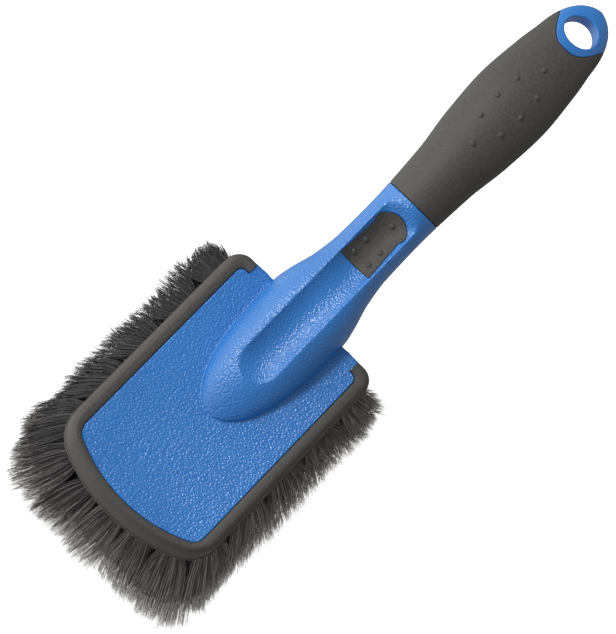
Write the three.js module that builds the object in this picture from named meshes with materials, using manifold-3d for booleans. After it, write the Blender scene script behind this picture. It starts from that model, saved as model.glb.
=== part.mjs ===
// Short-handled wheel brush, millimetres, +Z up, +X towards the hanging end of the handle.
// The brush stands on its bristle tips: the origin is the middle of that footprint box.
// While a piece is being shaped, X = 0 is the edge of the head that the handle leaves from.
import * as THREE from 'three';
import { mergeVertices } from 'three/addons/utils/BufferGeometryUtils.js';
import Module from 'manifold-3d';

// ---------- driving dimensions ----------
const GAP = 0.3; // between pieces that touch in the real brush
const JOIN_OVERLAP = 1; // how far two solids run into each other where they are joined

const BRISTLE_LENGTH = 40; // from the face of the head down to the tips
const BLOCK_THICKNESS = 14;
const BLOCK_FACE_Z = BRISTLE_LENGTH;
const PLATE_Z = BLOCK_FACE_Z + BLOCK_THICKNESS; // upper face of the head
const BRUSH_TOP_Z = PLATE_Z + 50; // clear of everything

const HEAD_LENGTH = 113.4;
const HEAD_WIDTH = 76;
const FAR_EDGE_RADIUS = 70; // the head's far edge is a shallow arc
const FAR_CORNER_RADIUS = 16;
const NEAR_CORNER_RADIUS = 7.5;
const CORNER_STEPS = 5;

const BUMPER_TOP_WIDTH = 6.5; // band seen from above
const BUMPER_SIDE_THICKNESS = 3.5;
const BUMPER_TOP_THICKNESS = 3.5;
const BUMPER_PROUD = 0.8; // above the plate
const BUMPER_UNDERSIDE_Z = BLOCK_FACE_Z + 2;
const BUMPER_LIP = 0.6; // thin skirt past the rounded nose
const BUMPER_LIP_HEIGHT = 1.2;
const BUMPER_NOSE = 3.2;
const BUMPER_NOSE_STEPS = 4;
const FAR_NARROWING = 1.9; // the band seen from above is this much narrower along the far edge
const BUMPER_MOUTH_HALF = 27.4; // half of the opening in the bumper where the handle passes

const BOSS_LENGTH = 59.2; // ridge of the handle that runs onto the plate
const BOSS_PLAN_POWER = 2.9; // superellipse of its nose in plan
const BOSS_RAMP_POWER = 0.8; // how steeply its top climbs from the plate
const HANDLE_END_X = 172.5;
const HANDLE_SIDES = 20;
const HANDLE_STEPS = 42;
const CORE_STEPS = 14;

const GROOVE_START_X = -42;
const GROOVE_END_X = 52;
const GROOVE_HALF_WIDTH = 8.3;
const GROOVE_DEPTH = 5.2;
const GROOVE_SIDES = 16;
const GROOVE_STEPS = 24;
const GROOVE_NOSE_LENGTH = 9; // length of its rounded start in plan
const GROOVE_RAMP_LENGTH = 15; // length over which its floor goes down
const GROOVE_WALL_POWER = 2.2; // shape of its walls across the handle

const PAD_FRONT_X = 21;
const PAD_FRONT_HALF = 7.4;
const PAD_FRONT_BOW = 0.9; // its front edge is this hollow in the middle
const PAD_WAIST_HALF = 6.3;
const PAD_END_CENTRE_X = 42;
const PAD_END_LENGTH = 5.3;
const PAD_END_HALF = 7.1;
const PAD_THICKNESS = 1.8;
const PAD_NUBS = [[25.7, 4.15], [25.7, -4.15], [32.6, 4.1], [32.6, -4.1], [43.7, 0]];
const PAD_END_STEPS = 6;

const GRIP_SEAM_X = 52.1; // the sleeve's front edge at the height GRIP_SEAM_Z
const GRIP_SEAM_Z = PLATE_Z + 27;
const GRIP_SEAM_LEAN = THREE.MathUtils.degToRad(23);
const GRIP_BACK_X = 159;
const GRIP_THICKNESS = 2;
const GRIP_CORE_OVERLAP = 14; // how far the sleeve's core reaches into the neck
const GRIP_NUB_MIDDLE_X = 108.3;
const GRIP_NUB_PITCH = 10.8;
const GRIP_NUB_ROWS_EACH_WAY = 2;
const GRIP_NUB_HALF_WIDTH = 6.3;

const EYE_START_X = 145; // where the handle's end begins to round off in plan
const EYE_X = 156.5;
const EYE_HOLE_RADIUS = 7.4;
const EYE_HOLE_SIDES = 32;
const EYE_RING_HALF_LENGTH = 12.1;
const EYE_RING_HALF_WIDTH = 11.3;
const EYE_RING_SIDES = 40;
const END_THICKNESS_SHARE = 0.45; // of the handle's thickness, left at its very end

const NUB_RADIUS = 1.1;
const NUB_HEIGHT = 0.8;
const NUB_SIDES = 8;

const TUFT_ROWS = 10;
const TUFT_ROW_PITCH = 10.2;
const TUFT_COLUMN_PITCH = 12.4;
const TUFT_NEAR_X = -8.5;
const TUFT_FAR_BOW = 3.2; // the far rows bow out like the far edge
const TUFT_HOLE_DEPTH = 9;
const TUFT_RADIUS = 2.1;
const TUFT_SIDES = 10;
const TIP_NEAR_X = 8.5;
const TIP_ROW_PITCH = 13.6;
const TIP_SPREAD = 1.43; // sideways spread of the tips over the holes
const TIP_HALF_LENGTH = 6;
const TIP_HALF_WIDTH = 8.4;

// Side view and plan of the boss and handle: heights above the plate at stations along X.
const HALF_WIDTH_AT = [
  [-BOSS_LENGTH, 18.8], [0, 18.8], [7, 17.6], [18, 14.6], [30, 13], [46, 12.7], [75, 14],
  [95, 16.5], [115, 17.7], [138, 16], [150, 14.6], [HANDLE_END_X, 14.4],
];
const CREST_AT = [
  [-BOSS_LENGTH, 15], [0, 18], [40, 22.5], [80, 30], [116, 34.5], [150, 31], [HANDLE_END_X, 27.5],
];
const MIDDLE_AT = [
  [-BOSS_LENGTH, 0], [0, 0], [40, 9], [80, 16], [120, 21.5], [150, 22], [HANDLE_END_X, 21],
];
const BELLY_AT = [
  [-BOSS_LENGTH, -9], [0, -12], [20, -4], [45, 2.5], [80, 7], [115, 9], [150, 14.5],
  [HANDLE_END_X, 18],
];

// The groove's floor below the crest: it dips under the pad, then climbs out at the pad's rounded end.
const GROOVE_DEPTH_AT = [
  [GROOVE_START_X, GROOVE_DEPTH], [5, GROOVE_DEPTH], [23, 7.6], [37, 8.2], [45, 6.2],
  [GROOVE_END_X, -1],
];

// Least sizes that keep a section from closing up where it tapers away.
const LEAST_HALF_WIDTH = 1.2;
const LEAST_CORE_HALF_WIDTH = 0.5;
const LEAST_CORE_REACH = 0.1;
const LEAST_NOSE_HEIGHT = 0.02;
const LEAST_GROOVE_NOSE = 0.15;
const LEAST_GROOVE_DEPTH = 0.2;

const BLUE_PLASTIC = { color: '#2f6fc0', roughness: 0.42, metalness: 0 };
const GREY_RUBBER = { color: '#4b4a47', roughness: 0.72, metalness: 0 };
const DARK_BRISTLE = { color: '#38363a', roughness: 0.85, metalness: 0 };

// ---------- general helpers ----------
const wasm = await Module();
wasm.setup();

/** A manifold solid from any closed three.js geometry. */
function toSolid(geometry) {
  geometry.deleteAttribute('normal');
  geometry.deleteAttribute('uv');
  const merged = mergeVertices(geometry, 1e-4);
  return new wasm.Manifold(new wasm.Mesh({
    numProp: 3,
    vertProperties: new Float32Array(merged.attributes.position.array),
    triVerts: new Uint32Array(merged.index.array),
  }));
}

/** A three.js geometry from a manifold solid. */
function toGeometry(solid) {
  const { vertProperties, triVerts } = solid.getMesh();
  const geometry = new THREE.BufferGeometry();
  geometry.setAttribute('position', new THREE.BufferAttribute(vertProperties, 3));
  geometry.setIndex(new THREE.BufferAttribute(triVerts, 1));
  geometry.computeVertexNormals();
  return geometry;
}

/** A smooth curve through [x, value] knots that doesn't overshoot them, as a function of x. */
function smoothThrough(knots) {
  const slopes = knots.map(([x, value], i) => {
    if (i === 0 || i === knots.length - 1) return 0;
    const before = (value - knots[i - 1][1]) / (x - knots[i - 1][0]);
    const after = (knots[i + 1][1] - value) / (knots[i + 1][0] - x);
    return before * after > 0 ? (2 * before * after) / (before + after) : 0;
  });
  return (x) => {
    let i = 0;
    while (i < knots.length - 2 && x > knots[i + 1][0]) i += 1;
    const [x0, value0] = knots[i];
    const [x1, value1] = knots[i + 1];
    const span = x1 - x0;
    const t = THREE.MathUtils.clamp((x - x0) / span, 0, 1);
    const late = t * t * (3 - 2 * t);
    const bend0 = t * (1 - t) * (1 - t) * slopes[i];
    const bend1 = t * t * (t - 1) * slopes[i + 1];
    return value0 + late * (value1 - value0) + span * (bend0 + bend1);
  };
}

/** Height of a superellipse quarter: 1 at 0, falling to 0 at 1. */
function roundOff(distance, power = 2) {
  return Math.sqrt(Math.max(0, 1 - THREE.MathUtils.clamp(distance, 0, 1) ** power));
}

/** A closed solid of rings: place(t, side, up) gives a ring's point, side and up on a unit circle. */
function loft(sides, steps, place) {
  const tube = new THREE.CylinderGeometry(1, 1, 1, sides, steps);
  const position = tube.attributes.position;
  for (let i = 0; i < position.count; i += 1) {
    const point = place(position.getY(i) + 0.5, position.getZ(i), position.getX(i));
    position.setXYZ(i, point.x, point.y, point.z);
  }
  return toSolid(tube);
}

/** A plan shape raised between two heights. */
function prism(shape, bottom, top, curveSegments = CORNER_STEPS) {
  const depth = top - bottom;
  const geometry = new THREE.ExtrudeGeometry(shape, { depth, bevelEnabled: false, curveSegments });
  geometry.translate(0, 0, bottom);
  return toSolid(geometry);
}

/** An axis-aligned box between two corners. */
function block(low, high) {
  const size = new THREE.Vector3().subVectors(high, low);
  const middle = new THREE.Vector3().addVectors(low, high).multiplyScalar(0.5);
  const geometry = new THREE.BoxGeometry(size.x, size.y, size.z);
  geometry.translate(middle.x, middle.y, middle.z);
  return toSolid(geometry);
}

/** A low dome, part sunk into the surface it stands on. */
function nub(x, y, z) {
  const dome = new THREE.SphereGeometry(NUB_RADIUS, NUB_SIDES, NUB_SIDES / 2);
  dome.scale(1, 1, NUB_HEIGHT / NUB_RADIUS);
  dome.translate(x, y, z);
  return toSolid(dome);
}

// ---------- head ----------
/** Plan outline of the head, moved inwards by inset. */
function headOutline(inset) {
  const half = HEAD_WIDTH / 2 - inset;
  const farRadius = FAR_EDGE_RADIUS - inset;
  const farCorner = Math.max(FAR_CORNER_RADIUS - inset * 1.5, 5);
  const nearCorner = Math.max(NEAR_CORNER_RADIUS - inset, 3);
  const arcX = FAR_EDGE_RADIUS - HEAD_LENGTH - (FAR_NARROWING * inset) / BUMPER_TOP_WIDTH;
  const cornerY = half - farCorner;
  const cornerX = arcX - Math.sqrt((farRadius - farCorner) ** 2 - cornerY ** 2);
  const turn = Math.atan2(cornerY, cornerX - arcX);
  const shape = new THREE.Shape();
  shape.absarc(-inset - nearCorner, half - nearCorner, nearCorner, 0, Math.PI / 2);
  shape.absarc(cornerX, cornerY, farCorner, Math.PI / 2, turn);
  shape.absarc(arcX, 0, farRadius, turn, 2 * Math.PI - turn);
  shape.absarc(cornerX, -cornerY, farCorner, 2 * Math.PI - turn, 1.5 * Math.PI);
  shape.absarc(-inset - nearCorner, nearCorner - half, nearCorner, 1.5 * Math.PI, 2 * Math.PI);
  shape.closePath();
  return shape;
}

/**
 * The core that the bumper wraps: wide below, with a step in under the bumper's top band. As a cutter
 * it is grown by grow, and runs on past its top and its near face by past.
 */
function headCore(grow, past) {
  const stepZ = PLATE_Z - BUMPER_TOP_THICKNESS;
  const wide = prism(headOutline(BUMPER_SIDE_THICKNESS - grow), BLOCK_FACE_Z, stepZ + grow);
  const plate = prism(headOutline(BUMPER_TOP_WIDTH - grow), stepZ - JOIN_OVERLAP, PLATE_Z + past);
  return wide.add(plate).add(nearTongue(grow, past));
}

/** The part of the head between the bumper's two ends, where the handle leaves. */
function nearTongue(grow, past) {
  const half = BUMPER_MOUTH_HALF + grow;
  return block(
    new THREE.Vector3(-BUMPER_TOP_WIDTH - NEAR_CORNER_RADIUS, -half, BLOCK_FACE_Z),
    new THREE.Vector3(-BUMPER_LIP + past, half, PLATE_Z + past),
  );
}

/** Soft C-shaped edge with a rounded nose and a thin skirt. */
function headBumper() {
  const height = PLATE_Z + BUMPER_PROUD - BUMPER_UNDERSIDE_Z;
  const nose = new THREE.ExtrudeGeometry(headOutline(BUMPER_LIP), {
    depth: height - 2 * BUMPER_NOSE,
    bevelThickness: BUMPER_NOSE,
    bevelSize: BUMPER_NOSE,
    bevelOffset: -BUMPER_NOSE,
    bevelSegments: BUMPER_NOSE_STEPS,
    curveSegments: CORNER_STEPS,
  });
  nose.translate(0, 0, BUMPER_UNDERSIDE_Z + BUMPER_NOSE);
  const skirt = prism(headOutline(0), BUMPER_UNDERSIDE_Z, BUMPER_UNDERSIDE_Z + BUMPER_LIP_HEIGHT);
  return toSolid(nose).add(skirt).subtract(headCore(GAP, 2 * BUMPER_PROUD));
}

// ---------- boss and handle ----------
const halfWidthAt = smoothThrough(HALF_WIDTH_AT);
const crestAt = smoothThrough(CREST_AT);
const middleAt = smoothThrough(MIDDLE_AT);
const bellyAt = smoothThrough(BELLY_AT);
const grooveDepthAt = smoothThrough(GROOVE_DEPTH_AT);

/** Half width, and heights of the crest, widest line and belly of the handle at station x. */
function handleSection(x) {
  const alongBoss = THREE.MathUtils.clamp(-x / BOSS_LENGTH, 0, 1);
  const nose = roundOff(alongBoss, BOSS_PLAN_POWER);
  const noseHeight = Math.max((1 - alongBoss ** 2) ** BOSS_RAMP_POWER, LEAST_NOSE_HEIGHT);
  const eye = roundOff((x - EYE_START_X) / (HANDLE_END_X - EYE_START_X));
  const eyeEdge = THREE.MathUtils.lerp(END_THICKNESS_SHARE, 1, eye);
  const middle = middleAt(x);
  return {
    halfWidth: Math.max(halfWidthAt(x) * nose * eye, LEAST_HALF_WIDTH),
    middle: PLATE_Z + middle,
    crest: PLATE_Z + middle + (crestAt(x) - middle) * noseHeight * eyeEdge,
    belly: PLATE_Z + middle - (middle - bellyAt(x)) * eyeEdge,
  };
}

/** A point on the handle's skin, moved inwards by inset. */
function handlePoint(x, side, up, inset) {
  const { halfWidth, middle, crest, belly } = handleSection(x);
  const reach = up > 0 ? crest - middle : middle - belly;
  return new THREE.Vector3(
    x,
    side * Math.max(halfWidth - inset, LEAST_CORE_HALF_WIDTH),
    middle + up * Math.max(reach - inset, LEAST_CORE_REACH),
  );
}

/** The boss, neck, grip core and hanging end as one solid, between two stations. */
function handleSolid(inset, startX, endX, steps) {
  const middle = (startX + endX) / 2;
  const reach = (endX - startX) / 2;
  return loft(HANDLE_SIDES, steps, (t, side, up) => {
    const even = 2 * t - 1;
    const crowded = -Math.cos(Math.PI * t);
    return handlePoint(middle + reach * (0.5 * even + 0.5 * crowded), side, up, inset);
  });
}

/** Half width, floor height and height of the rim of the thumb groove at station x. */
function grooveSection(x) {
  const fromStart = x - GROOVE_START_X;
  const nose = Math.max(roundOff(1 - fromStart / GROOVE_NOSE_LENGTH), LEAST_GROOVE_NOSE);
  const half = GROOVE_HALF_WIDTH * nose;
  const { halfWidth, middle, crest } = handleSection(x);
  const ramp = Math.sin(0.5 * Math.PI * Math.min(fromStart / GROOVE_RAMP_LENGTH, 1));
  const floor = crest - grooveDepthAt(x) * ramp;
  const rim = middle + (crest - middle) * roundOff(half / halfWidth);
  return { half, floor, rim: Math.max(rim, floor + LEAST_GROOVE_DEPTH) };
}

/** Height of the groove's floor or wall at station x, side being 0 in the middle and 1 at its rim. */
function grooveHeight(x, side) {
  const { floor, rim } = grooveSection(x);
  return floor + (rim - floor) * Math.abs(side) ** GROOVE_WALL_POWER;
}

/** The hollow that takes the thumb, as the solid that is cut away. */
function thumbGroove() {
  return loft(GROOVE_SIDES, GROOVE_STEPS, (t, side, up) => {
    const x = THREE.MathUtils.lerp(GROOVE_START_X, GROOVE_END_X, t);
    const { half, rim } = grooveSection(x);
    const z = up > 0 ? rim + 2 * GROOVE_DEPTH * up : grooveHeight(x, side);
    return new THREE.Vector3(x, side * half, z);
  });
}

/** Plan outline of the thumb pad: hollow front, tapering sides, rounded end, grown by grow. */
function padOutline(grow) {
  const turn = Math.PI - Math.asin(PAD_WAIST_HALF / PAD_END_HALF);
  const frontX = PAD_FRONT_X - grow;
  const frontY = PAD_FRONT_HALF + grow;
  const shape = new THREE.Shape();
  shape.moveTo(frontX, frontY);
  shape.quadraticCurveTo(frontX + 2 * PAD_FRONT_BOW, 0, frontX, -frontY);
  shape.absellipse(PAD_END_CENTRE_X, 0, PAD_END_LENGTH + grow, PAD_END_HALF + grow, -turn, turn);
  shape.closePath();
  return shape;
}

/** The skin of the grooved handle inside the pad's outline, as thick as asked. */
function padSkin(grooved, grow, thickness) {
  const column = prism(padOutline(grow), PLATE_Z, BRUSH_TOP_Z, PAD_END_STEPS);
  return grooved.intersect(column).subtract(grooved.translate(0, 0, -thickness));
}

function thumbPad(grooved) {
  return PAD_NUBS.reduce(
    (pad, [x, y]) => pad.add(nub(x, y, grooveHeight(x, y / grooveSection(x).half))),
    padSkin(grooved, 0, PAD_THICKNESS),
  );
}

/** The length of handle that the rubber sleeve covers, grown by grow at both ends. */
function gripZone(grow) {
  const seamAt = (z) => GRIP_SEAM_X + (GRIP_SEAM_Z - z) * Math.tan(GRIP_SEAM_LEAN) - grow;
  const sideView = new THREE.Shape([
    new THREE.Vector2(seamAt(BLOCK_FACE_Z), BLOCK_FACE_Z),
    new THREE.Vector2(GRIP_BACK_X + grow, BLOCK_FACE_Z),
    new THREE.Vector2(GRIP_BACK_X + grow, BRUSH_TOP_Z),
    new THREE.Vector2(seamAt(BRUSH_TOP_Z), BRUSH_TOP_Z),
  ]);
  const zone = new THREE.ExtrudeGeometry(sideView, { depth: HEAD_WIDTH, bevelEnabled: false });
  zone.rotateX(Math.PI / 2);
  zone.translate(0, HEAD_WIDTH / 2, 0);
  const ring = new THREE.CylinderGeometry(1, 1, HEAD_LENGTH, EYE_RING_SIDES);
  ring.rotateX(Math.PI / 2);
  ring.scale(EYE_RING_HALF_LENGTH + GAP - grow, EYE_RING_HALF_WIDTH + GAP - grow, 1);
  ring.translate(EYE_X, 0, PLATE_Z);
  return toSolid(zone).subtract(toSolid(ring));
}

/** The inner core that fills the sleeve, from inside the neck to inside the ring. */
function gripCore(inset) {
  return handleSolid(inset, GRIP_SEAM_X - GRIP_CORE_OVERLAP, EYE_X, CORE_STEPS);
}

/** Two curved rows of nubs that close into an oval on the grip's top. */
function gripNubs() {
  const nubs = [];
  for (let row = -GRIP_NUB_ROWS_EACH_WAY; row <= GRIP_NUB_ROWS_EACH_WAY; row += 1) {
    const x = GRIP_NUB_MIDDLE_X + row * GRIP_NUB_PITCH;
    const y = GRIP_NUB_HALF_WIDTH * roundOff(Math.abs(row) / GRIP_NUB_ROWS_EACH_WAY);
    const { halfWidth: handleHalf, middle, crest } = handleSection(x);
    const z = middle + (crest - middle) * roundOff(y / handleHalf);
    nubs.push(nub(x, y, z));
    if (y > 0) nubs.push(nub(x, -y, z));
  }
  return nubs;
}

function handleGrip() {
  const sleeve = handleSolid(0, -BOSS_LENGTH, HANDLE_END_X, HANDLE_STEPS)
    .intersect(gripZone(0))
    .subtract(gripCore(GRIP_THICKNESS));
  return gripNubs().reduce((grip, dome) => grip.add(dome), sleeve);
}

/** Hole through the ring at the end, turned so that a flat of its wall bears on the hook. */
function hangHole() {
  const hole = new THREE.CylinderGeometry(EYE_HOLE_RADIUS, EYE_HOLE_RADIUS, HEAD_LENGTH, EYE_HOLE_SIDES);
  hole.rotateX(Math.PI / 2);
  hole.rotateZ(Math.PI / EYE_HOLE_SIDES);
  hole.translate(EYE_X, 0, PLATE_Z);
  return toSolid(hole);
}

// ---------- tufts ----------
/** Where each tuft leaves the head and where its tips end, row by row from the handle. */
function tuftPlaces() {
  const places = [];
  for (let row = 0; row < TUFT_ROWS; row += 1) {
    const columns = row % 2 === 0 ? 6 : 5;
    const along = row / (TUFT_ROWS - 1);
    for (let column = 0; column < columns; column += 1) {
      const y = (column - (columns - 1) / 2) * TUFT_COLUMN_PITCH;
      const bow = TUFT_FAR_BOW * along ** 2 * roundOff(Math.abs(y) / (HEAD_WIDTH / 2 - BUMPER_TOP_WIDTH));
      places.push({
        name: `tuft_r${row + 1}_c${column + 1}`,
        mouth: new THREE.Vector3(TUFT_NEAR_X - row * TUFT_ROW_PITCH - bow, y, BLOCK_FACE_Z),
        tip: new THREE.Vector3(TIP_NEAR_X - row * TIP_ROW_PITCH, y * TIP_SPREAD, 0),
      });
    }
  }
  return places;
}

/** One tuft: straight in its hole, then fanning out to flat tips. */
function tuftSolid({ mouth, tip }, grow) {
  const lean = new THREE.Vector3().subVectors(mouth, tip).divideScalar(BRISTLE_LENGTH);
  const root = new THREE.Vector3().copy(mouth).addScaledVector(lean, TUFT_HOLE_DEPTH + grow);
  const rootRadius = TUFT_RADIUS + grow;
  return loft(TUFT_SIDES, 2, (t, side, up) => {
    const fan = Math.max(0, 2 * t - 1);
    const centre = t < 0.5
      ? new THREE.Vector3().lerpVectors(root, mouth, 2 * t)
      : new THREE.Vector3().lerpVectors(mouth, tip, fan);
    const halfLength = THREE.MathUtils.lerp(rootRadius, TIP_HALF_LENGTH + grow, fan);
    const halfWidth = THREE.MathUtils.lerp(rootRadius, TIP_HALF_WIDTH + grow, fan);
    return new THREE.Vector3(centre.x + up * halfLength, centre.y + side * halfWidth, centre.z);
  });
}

// ---------- assembly ----------
/** The blue moulding: head, boss, neck, core of the grip and hanging ring. */
function handleBody(grooved, tufts) {
  const padPocket = padSkin(grooved, GAP, PAD_THICKNESS + GAP);
  const gripPocket = gripZone(GAP).subtract(gripCore(GRIP_THICKNESS + GAP));
  const handle = grooved.subtract(padPocket).subtract(gripPocket);
  const moulding = headCore(0, 0).add(handle).subtract(hangHole());
  return tufts.reduce((body, place) => body.subtract(tuftSolid(place, GAP)), moulding);
}

function addPiece(group, name, solid, finish) {
  const mesh = new THREE.Mesh(toGeometry(solid), new THREE.MeshStandardMaterial(finish));
  mesh.name = name;
  group.add(mesh);
}

function wheelBrush() {
  const shaped = new THREE.Group();
  const tufts = tuftPlaces();
  const grooved = handleSolid(0, -BOSS_LENGTH, HANDLE_END_X, HANDLE_STEPS).subtract(thumbGroove());
  addPiece(shaped, 'handle_body', handleBody(grooved, tufts), BLUE_PLASTIC);
  addPiece(shaped, 'head_bumper', headBumper(), GREY_RUBBER);
  addPiece(shaped, 'handle_grip', handleGrip(), GREY_RUBBER);
  addPiece(shaped, 'thumb_pad', thumbPad(grooved), GREY_RUBBER);
  for (const place of tufts) {
    addPiece(shaped, place.name, tuftSolid(place, 0), DARK_BRISTLE);
  }
  const middle = new THREE.Box3().setFromObject(shaped).getCenter(new THREE.Vector3());
  shaped.position.set(-middle.x, -middle.y, 0);
  const brush = new THREE.Group();
  brush.name = 'wheel_brush';
  brush.add(shaped);
  return brush;
}

export default wheelBrush();
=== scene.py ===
"""Looks of a short-handled wheel brush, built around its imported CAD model.

Shapes are worked out in millimetres in the shaping frame: X = 0 is the edge of the head that the
handle leaves from, +X runs to the hanging end, Z = 0 is the plane of the bristle tips.
placed() turns them into metres in the frame of the CAD model.
"""

from math import asin, atan2, cos, pi, radians, sin, sqrt, tan

import bpy
import numpy as np
from mathutils import Matrix, Vector
from mathutils.kdtree import KDTree


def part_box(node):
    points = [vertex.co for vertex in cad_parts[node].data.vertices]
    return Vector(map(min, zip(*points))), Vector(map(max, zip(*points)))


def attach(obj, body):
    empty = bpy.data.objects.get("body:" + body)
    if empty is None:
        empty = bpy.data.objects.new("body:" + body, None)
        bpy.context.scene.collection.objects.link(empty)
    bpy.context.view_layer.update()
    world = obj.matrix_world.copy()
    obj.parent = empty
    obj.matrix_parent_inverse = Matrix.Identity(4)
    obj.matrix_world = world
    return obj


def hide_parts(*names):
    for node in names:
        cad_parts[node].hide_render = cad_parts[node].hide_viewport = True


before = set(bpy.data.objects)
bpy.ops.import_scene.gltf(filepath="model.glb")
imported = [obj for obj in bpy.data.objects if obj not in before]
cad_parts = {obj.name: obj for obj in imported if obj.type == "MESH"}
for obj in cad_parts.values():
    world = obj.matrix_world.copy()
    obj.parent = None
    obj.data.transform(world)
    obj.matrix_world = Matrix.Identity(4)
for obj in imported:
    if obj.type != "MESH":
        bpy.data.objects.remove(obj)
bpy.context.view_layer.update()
MM = 0.001


def box_mm(node):
    """Lowest and highest corner of a CAD node in millimetres."""
    low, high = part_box(node)
    return np.array(low) / MM, np.array(high) / MM


# ---------- sizes read from the frame ----------
BUMPER_LOW, BUMPER_HIGH = box_mm("head_bumper")
BODY_LOW, BODY_HIGH = box_mm("handle_body")
NEAR_EDGE_X = BUMPER_HIGH[0]
HEAD_LENGTH = BUMPER_HIGH[0] - BUMPER_LOW[0]
HEAD_WIDTH = BUMPER_HIGH[1] - BUMPER_LOW[1]
BLOCK_FACE_Z = BODY_LOW[2]
BUMPER_BASE_Z = BUMPER_LOW[2]
BUMPER_TOP_Z = BUMPER_HIGH[2]
HANDLE_END_X = BODY_HIGH[0] - NEAR_EDGE_X
PAD_FRONT_X = box_mm("thumb_pad")[0][0] - NEAR_EDGE_X
TUFT_TOP_Z = box_mm("tuft_r1_c1")[1][2]

# ---------- the rest of the shape, in millimetres ----------
GAP = 0.3
VISIBLE_GAP = 0.12
BUMPER_PROUD = 0.8
PLATE_Z = BUMPER_TOP_Z - BUMPER_PROUD
FAR_EDGE_RADIUS = 70
FAR_CORNER_RADIUS = 16
FAR_CORNER_TIGHTENING = 1.5
LEAST_FAR_CORNER = 5
NEAR_CORNER_RADIUS = 7.5
LEAST_NEAR_CORNER = 3
NEAR_REACH = 0.5
BLOCK_CHAMFER = 0.5
BUMPER_TOP_WIDTH = 6.5
BUMPER_SIDE_DEPTH = 3.5
BUMPER_TOP_DEPTH = 3.5
BUMPER_LIP = 0.5
BUMPER_LIP_HEIGHT = 1.2
BUMPER_LIP_CHAMFER = 0.25
BUMPER_LIP_EDGE = 0.2
BUMPER_LIP_FOOT = (0.05, 0.15)
BUMPER_CROWN_WIDTH = 2.9
BUMPER_CROWN_HEIGHT = 4.6
BUMPER_INNER_DROP = 0.95
FAR_NARROWING = 1.9
BUMPER_MOUTH_HALF = 27.4
PLATE_EDGE_RADIUS = 0.6
NEAR_FACE_INSET = 0.5
NEAR_EDGE_ROUNDING = 1.2
PLATE_DISH = 1.2
PLATE_DISH_END = 18

BOSS_LENGTH = 59.2
BOSS_PLAN_POWER = 2.9
BOSS_RAMP_POWER = 0.8
BOSS_FILLET = 0.45
BOSS_FILLET_START_X = -2
BOSS_FILLET_ROOT = 1.0
BOSS_INSIDE = (-20, 0)
GROOVE_START_X = -42
GROOVE_END_X = 52
GROOVE_HALF_WIDTH = 8.3
GROOVE_DEPTH = 5.2
GROOVE_NOSE_LENGTH = 9
GROOVE_RAMP_LENGTH = 15
GROOVE_WALL_POWER = 2.2
GROOVE_RIM_BLEND = 1.0
GROOVE_WIDEST_SHARE = 0.9
GROOVE_NARROWEST_SHARE = 0.06
GROOVE_LEAST_WALL = 0.2
GROOVE_MARGIN = 1

PAD_FRONT_HALF = 7.4
PAD_WAIST_HALF = 6.3
PAD_END_CENTRE_X = 42
PAD_FRONT_BOW = 0.9
PAD_FRONT_CORNER = 0.6
PAD_FRONT_CORNER_CUT = 0.18
PAD_END_LENGTH = 5.3
PAD_END_HALF = 7.1
PAD_THICKNESS = 1.8
PAD_PROUD = 0.25
PAD_EDGE_ROUNDING = 0.4
PAD_POCKET_GAP = 0.25
PAD_CENTRE = np.array([33.0, 0.0])
PAD_NUBS = [(25.7, 4.15), (25.7, -4.15), (32.6, 4.1), (32.6, -4.1), (43.7, 0.0)]

GRIP_SEAM_X = 52.1
GRIP_SEAM_Z = PLATE_Z + 27
GRIP_SEAM_LEAN = radians(23)
GRIP_THICKNESS = 2
GRIP_NUB_X = 108.3
GRIP_NUB_PITCH = 10.8
GRIP_NUB_HALF_WIDTH = 6.3
SEAM_ROUNDING = 0.3

EYE_START_X = 142
EYE_X = 156.5
EYE_HOLE_RADIUS = 7.4
EYE_HOLE_ROUNDING = 0.9
EYE_UNDER_ROUNDING = 2.4
RING_HALF_LENGTH = 12.1
RING_HALF_WIDTH = 11.3
RING_POWER = 2.8
EYE_PLAN_POWER = 2.6
END_THICKNESS_SHARE = 0.2

LEAST_HALF_WIDTH = 0.2
LEAST_NOSE_SHARE = 0.01
TINY = 1e-6

NUB_RADIUS = 1.1
NUB_HEIGHT = 0.8
NUB_FOOT = [(0.35, -0.4), (0.3, -0.02), (0.05, 0.1)]
NUB_DOME_SHARE = 0.97
NUB_DOME_START = 0.15

TUFT_ROWS = 10
TUFT_COLUMNS = (6, 5)
TUFT_ROW_PITCH = 10.2
TUFT_COLUMN_PITCH = 12.4
TUFT_NEAR_X = -8.5
TUFT_FAR_BOW = 3.2
TUFT_RADIUS = 2.1
ANCHOR_HALF_SIZE = (0.25, 2.1)
ANCHOR_HEIGHT = 1.6
TIP_NEAR_X = 8.5
TIP_ROW_PITCH = 13.6
TIP_SPREAD = 1.43
TIPS_LOW = np.array([-122.5, -52.2])
TIPS_HIGH = np.array([15, 52.2])
TIPS_MIDDLE = (TIPS_LOW + TIPS_HIGH) / 2
TIPS_HALF = (TIPS_HIGH - TIPS_LOW) / 2
TIPS_NEAR_CORNER = 11
TIPS_FAR_CORNER = 24
TIPS_WORN_CORNER = 32

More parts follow.
